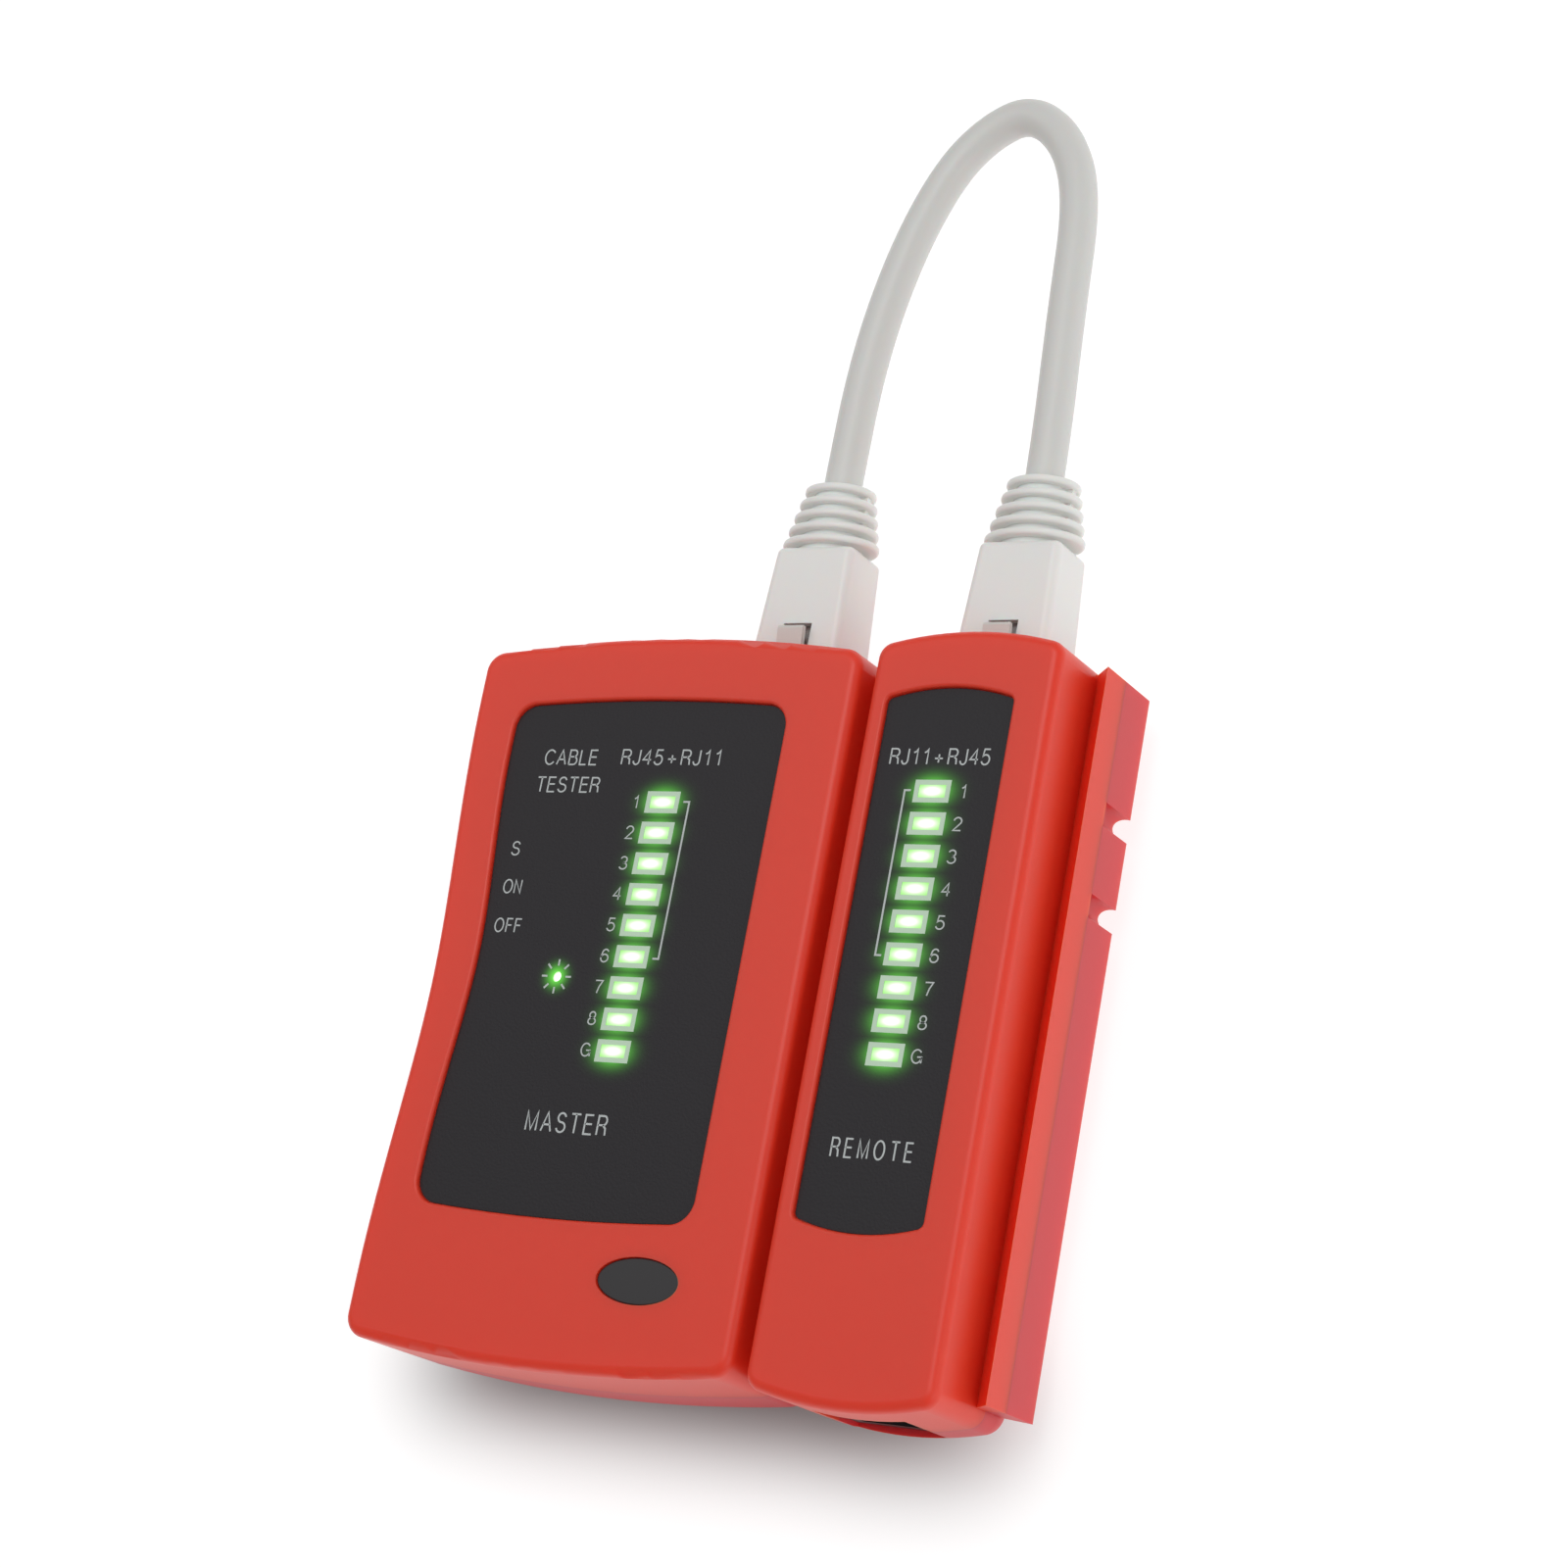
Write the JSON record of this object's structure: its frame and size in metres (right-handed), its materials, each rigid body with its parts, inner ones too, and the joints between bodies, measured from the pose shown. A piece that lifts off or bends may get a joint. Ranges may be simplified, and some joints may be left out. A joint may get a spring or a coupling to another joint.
{
  "type": "network cable tester",
  "caption": "Two-piece network cable tester: main unit, clip-on remote on a dovetail rail, and a short patch cord looped between their sockets.",
  "frame": {"origin": "centre of the tester's underside, without the patch cord, as it lies on its back", "axes": "+Z out of the labelled front face, +Y towards the 8-way sockets, +X from the main unit towards the remote unit"},
  "size_m": [0.0948, 0.1896, 0.026],
  "materials": {
    "case_plastic": "fine satin moulded plastic",
    "label_film": "fine textured polyester film",
    "badge_plastic": "smooth",
    "board": "solder resist",
    "led_lens": "diffused lens",
    "jack_plastic": "moulded",
    "gold_contact": "gold flash",
    "switch_metal": "plated",
    "knob_plastic": "moulded",
    "battery_case": "printed can",
    "snap_plastic": "soft vinyl",
    "lead_insulation": "PVC",
    "chip_epoxy": "moulded epoxy",
    "component": "lacquered",
    "screw_steel": "zinc plated",
    "cable_jacket": "satin PVC",
    "boot_rubber": "soft moulded PVC",
    "clear_plug": "clear polycarbonate"
  },
  "bodies": {
    "master": {"battery": "battery_case", "battery_leads": "lead_insulation", "battery_snap": "snap_plastic", "master_badge": "badge_plastic", "master_board_screws": "screw_steel", "master_case_screws": "screw_steel", "master_circuit_board": "board", "master_front_shell": "case_plastic", "master_label": "label_film", "master_led_1": "led_lens", "master_led_2": "led_lens", "master_led_3": "led_lens", "master_led_4": "led_lens", "master_led_5": "led_lens", "master_led_6": "led_lens", "master_led_7": "led_lens", "master_led_8": "led_lens", "master_led_g": "led_lens", "master_rear_shell": "case_plastic", "master_resistors": "component", "master_rj11_contacts": "gold_contact", "master_rj11_jack": "jack_plastic", "master_rj45_contacts": "gold_contact", "master_rj45_jack": "jack_plastic", "power_led": "led_lens", "power_switch_frame": "switch_metal", "sequencer_chip": "chip_epoxy", "timer_chip": "chip_epoxy"},
    "power_switch": {"power_switch_knob": "knob_plastic"},
    "battery_cover": {"battery_door": "case_plastic"},
    "remote": {"remote_board_screws": "screw_steel", "remote_case_screws": "screw_steel", "remote_circuit_board": "board", "remote_diodes": "component", "remote_front_shell": "case_plastic", "remote_label": "label_film", "remote_led_1": "led_lens", "remote_led_2": "led_lens", "remote_led_3": "led_lens", "remote_led_4": "led_lens", "remote_led_5": "led_lens", "remote_led_6": "led_lens", "remote_led_7": "led_lens", "remote_led_8": "led_lens", "remote_led_g": "led_lens", "remote_rear_shell": "case_plastic", "remote_rj11_contacts": "gold_contact", "remote_rj11_jack": "jack_plastic", "remote_rj45_contacts": "gold_contact", "remote_rj45_jack": "jack_plastic"},
    "patch_cord": {"patch_cable": "cable_jacket", "master_end_boot": "boot_rubber", "remote_end_boot": "boot_rubber", "master_end_plug": "clear_plug", "remote_end_plug": "clear_plug", "master_end_plug_contacts": "gold_contact", "remote_end_plug_contacts": "gold_contact"},
    "master_end_lever": {"master_end_latch": "clear_plug"},
    "remote_end_lever": {"remote_end_latch": "clear_plug"}
  },
  "joints": [
    {"name": "power_switch_slide", "type": "slide", "parent": "master", "child": "power_switch", "axis": [0, 1, 0], "range_m": [-0.004, 0.004]},
    {"name": "battery_door_slide", "type": "slide", "parent": "master", "child": "battery_cover", "axis": [0, -1, 0], "range_m": [0, 0.058]},
    {"name": "remote_slide", "type": "slide", "parent": "master", "child": "remote", "axis": [0, -1, 0], "range_m": [0, 0.105]},
    {"name": "patch_cord_slide", "type": "slide", "parent": "master", "child": "patch_cord", "axis": [0, 1, 0], "range_m": [0, 0.025]},
    {"name": "master_end_latch_press", "type": "hinge", "parent": "patch_cord", "child": "master_end_lever", "pos_m": [-0.00165, 0.0395, 0.0169], "axis": [1, 0, 0], "range_deg": [-6, 0], "stiffness_Nm_per_rad": 0.4},
    {"name": "remote_end_latch_press", "type": "hinge", "parent": "patch_cord", "child": "remote_end_lever", "pos_m": [0.03045, 0.0395, 0.0169], "axis": [1, 0, 0], "range_deg": [-6, 0], "stiffness_Nm_per_rad": 0.4}
  ]
}
